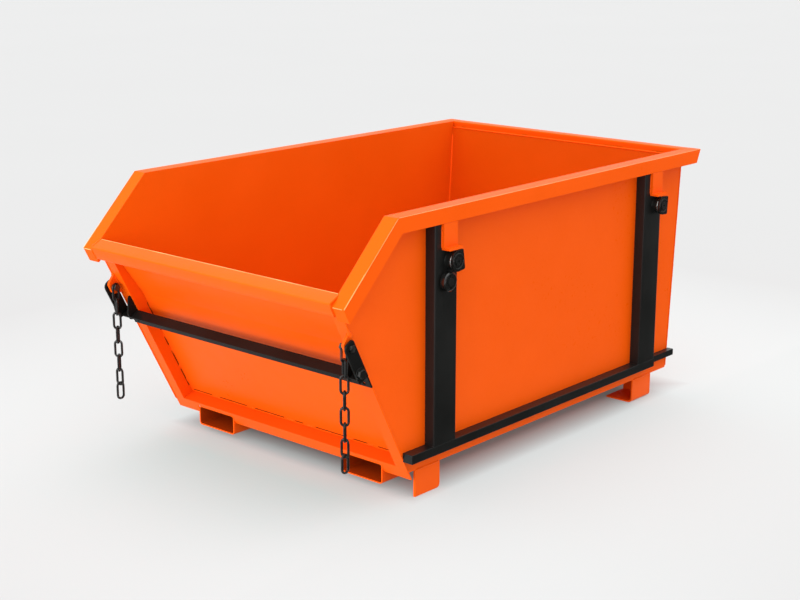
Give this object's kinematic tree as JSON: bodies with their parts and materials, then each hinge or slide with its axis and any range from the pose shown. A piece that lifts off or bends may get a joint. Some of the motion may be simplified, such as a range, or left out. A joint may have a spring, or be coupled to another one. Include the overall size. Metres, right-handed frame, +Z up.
{
  "type": "waste hopper bin",
  "caption": "Open steel hopper bin with a sloped front, a square tube rim, fork pockets, feet, black side rails and posts, a swinging front bail and chains.",
  "frame": {"origin": "on the floor under the middle of the whole bin", "axes": "+X to the bin's right seen from the sloped front, +Y from the sloped front to the rear wall, +Z up"},
  "size_m": [1.2452, 1.9272, 0.922],
  "materials": {
    "orange_paint": "semi-gloss powder coat in signal orange",
    "black_paint": "satin black paint with a faint grain",
    "plated_steel": "dull zinc plate on headed pins",
    "black_chain": "blackened welded chain with rubbed edges"
  },
  "bodies": {
    "hopper": {"side_plate_left": "orange_paint", "side_plate_right": "orange_paint", "floor_plate": "orange_paint", "rear_wall": "orange_paint", "front_panel": "orange_paint", "front_flange_left": "orange_paint", "front_flange_right": "orange_paint", "bottom_cross_flange": "orange_paint", "side_rim_left": "orange_paint", "side_rim_right": "orange_paint", "rear_rim": "orange_paint", "front_lip_tube": "orange_paint", "fork_tube_left": "orange_paint", "fork_tube_right": "orange_paint", "front_foot_left": "orange_paint", "front_foot_right": "orange_paint", "rear_foot_left": "orange_paint", "rear_foot_right": "orange_paint", "pivot_lug_left": "orange_paint", "pivot_lug_right": "orange_paint", "hanger_bracket_front_left": "orange_paint", "hanger_bracket_front_right": "orange_paint", "hanger_bracket_rear_left": "orange_paint", "hanger_bracket_rear_right": "orange_paint", "post_front_left": "black_paint", "post_front_right": "black_paint", "post_rear_left": "black_paint", "post_rear_right": "black_paint", "side_rail_left": "black_paint", "side_rail_right": "black_paint"},
    "bail": {"bail_bar": "black_paint", "clevis_outer_left": "black_paint", "clevis_inner_left": "black_paint", "clevis_outer_right": "black_paint", "clevis_inner_right": "black_paint", "pivot_pin_left": "plated_steel", "pivot_pin_right": "plated_steel"},
    "keeper_front_left": {"keeper_front_left": "black_paint"},
    "keeper_front_right": {"keeper_front_right": "black_paint"},
    "keeper_rear_left": {"keeper_rear_left": "black_paint"},
    "keeper_rear_right": {"keeper_rear_right": "black_paint"},
    "track_roller_left": {"track_roller_left": "black_paint"},
    "track_roller_right": {"track_roller_right": "black_paint"},
    "chain_link_left_1": {"chain_link_left_1": "black_chain"},
    "chain_link_left_2": {"chain_link_left_2": "black_chain"},
    "chain_link_left_3": {"chain_link_left_3": "black_chain"},
    "chain_link_left_4": {"chain_link_left_4": "black_chain"},
    "chain_link_left_5": {"chain_link_left_5": "black_chain"},
    "chain_link_left_6": {"chain_link_left_6": "black_chain"},
    "chain_link_left_7": {"chain_link_left_7": "black_chain"},
    "chain_link_left_8": {"chain_link_left_8": "black_chain"},
    "chain_link_right_1": {"chain_link_right_1": "black_chain"},
    "chain_link_right_2": {"chain_link_right_2": "black_chain"},
    "chain_link_right_3": {"chain_link_right_3": "black_chain"},
    "chain_link_right_4": {"chain_link_right_4": "black_chain"},
    "chain_link_right_5": {"chain_link_right_5": "black_chain"},
    "chain_link_right_6": {"chain_link_right_6": "black_chain"},
    "chain_link_right_7": {"chain_link_right_7": "black_chain"},
    "chain_link_right_8": {"chain_link_right_8": "black_chain"}
  },
  "joints": [
    {"name": "bail_swing", "type": "hinge", "parent": "hopper", "child": "bail", "pos_m": [0, -0.88463, 0.55487], "axis": [-1, 0, 0], "range_deg": [0, 90]},
    {"name": "keeper_front_left_turn", "type": "hinge", "parent": "hopper", "child": "keeper_front_left", "pos_m": [-0.616, -0.47169, 0.752], "axis": [-1, 0, 0], "range_deg": [0, 90]},
    {"name": "keeper_rear_left_turn", "type": "hinge", "parent": "hopper", "child": "keeper_rear_left", "pos_m": [-0.616, 0.68732, 0.752], "axis": [-1, 0, 0], "range_deg": [0, 90]},
    {"name": "keeper_front_right_turn", "type": "hinge", "parent": "hopper", "child": "keeper_front_right", "pos_m": [0.616, -0.47169, 0.752], "axis": [-1, 0, 0], "range_deg": [0, 90]},
    {"name": "keeper_rear_right_turn", "type": "hinge", "parent": "hopper", "child": "keeper_rear_right", "pos_m": [0.616, 0.68732, 0.752], "axis": [-1, 0, 0], "range_deg": [0, 90]},
    {"name": "track_roller_left_spin", "type": "hinge", "parent": "hopper", "child": "track_roller_left", "pos_m": [-0.602, -0.49668, 0.69], "axis": [1, 0, 0], "continuous": true},
    {"name": "track_roller_right_spin", "type": "hinge", "parent": "hopper", "child": "track_roller_right", "pos_m": [0.602, -0.49668, 0.69], "axis": [1, 0, 0], "continuous": true},
    {"name": "chain_left_1_swing", "type": "hinge", "parent": "bail", "child": "chain_link_left_1", "pos_m": [-0.53, -0.88463, 0.55487], "axis": [-1, 0, 0], "range_deg": [-1.5, 45]},
    {"name": "chain_left_2_swing", "type": "hinge", "parent": "chain_link_left_1", "child": "chain_link_left_2", "pos_m": [-0.53, -0.88463, 0.50887], "axis": [0, 1, 0], "range_deg": [-4, 12]},
    {"name": "chain_left_3_swing", "type": "hinge", "parent": "chain_link_left_2", "child": "chain_link_left_3", "pos_m": [-0.53, -0.88463, 0.45937], "axis": [-0.8829, 0.4695, 0], "range_deg": [-12, 20]},
    {"name": "chain_left_4_swing", "type": "hinge", "parent": "chain_link_left_3", "child": "chain_link_left_4", "pos_m": [-0.53, -0.88463, 0.40987], "axis": [-0.766, -0.6428, 0], "range_deg": [-12, 20]},
    {"name": "chain_left_5_swing", "type": "hinge", "parent": "chain_link_left_4", "child": "chain_link_left_5", "pos_m": [-0.53, -0.88463, 0.36037], "axis": [-0.6157, 0.788, 0], "range_deg": [-12, 20]},
    {"name": "chain_left_6_swing", "type": "hinge", "parent": "chain_link_left_5", "child": "chain_link_left_6", "pos_m": [-0.53, -0.88463, 0.31087], "axis": [-0.788, -0.6157, 0], "range_deg": [-12, 20]},
    {"name": "chain_left_7_swing", "type": "hinge", "parent": "chain_link_left_6", "child": "chain_link_left_7", "pos_m": [-0.53, -0.88463, 0.26137], "axis": [-0.6157, 0.788, 0], "range_deg": [-12, 20]},
    {"name": "chain_left_8_swing", "type": "hinge", "parent": "chain_link_left_7", "child": "chain_link_left_8", "pos_m": [-0.53, -0.88463, 0.21187], "axis": [-0.9744, -0.225, 0], "range_deg": [-12, 20]},
    {"name": "chain_right_1_swing", "type": "hinge", "parent": "bail", "child": "chain_link_right_1", "pos_m": [0.53, -0.88463, 0.55487], "axis": [-1, 0, 0], "range_deg": [-1.5, 45]},
    {"name": "chain_right_2_swing", "type": "hinge", "parent": "chain_link_right_1", "child": "chain_link_right_2", "pos_m": [0.53, -0.88463, 0.50887], "axis": [0, -1, 0], "range_deg": [-4, 12]},
    {"name": "chain_right_3_swing", "type": "hinge", "parent": "chain_link_right_2", "child": "chain_link_right_3", "pos_m": [0.53, -0.88463, 0.45937], "axis": [-0.8829, 0.4695, 0], "range_deg": [-12, 20]},
    {"name": "chain_right_4_swing", "type": "hinge", "parent": "chain_link_right_3", "child": "chain_link_right_4", "pos_m": [0.53, -0.88463, 0.40987], "axis": [-0.766, -0.6428, 0], "range_deg": [-12, 20]},
    {"name": "chain_right_5_swing", "type": "hinge", "parent": "chain_link_right_4", "child": "chain_link_right_5", "pos_m": [0.53, -0.88463, 0.36037], "axis": [-0.6157, 0.788, 0], "range_deg": [-12, 20]},
    {"name": "chain_right_6_swing", "type": "hinge", "parent": "chain_link_right_5", "child": "chain_link_right_6", "pos_m": [0.53, -0.88463, 0.31087], "axis": [-0.788, -0.6157, 0], "range_deg": [-12, 20]},
    {"name": "chain_right_7_swing", "type": "hinge", "parent": "chain_link_right_6", "child": "chain_link_right_7", "pos_m": [0.53, -0.88463, 0.26137], "axis": [-0.6157, 0.788, 0], "range_deg": [-12, 20]},
    {"name": "chain_right_8_swing", "type": "hinge", "parent": "chain_link_right_7", "child": "chain_link_right_8", "pos_m": [0.53, -0.88463, 0.21187], "axis": [-0.9744, -0.225, 0], "range_deg": [-12, 20]}
  ]
}
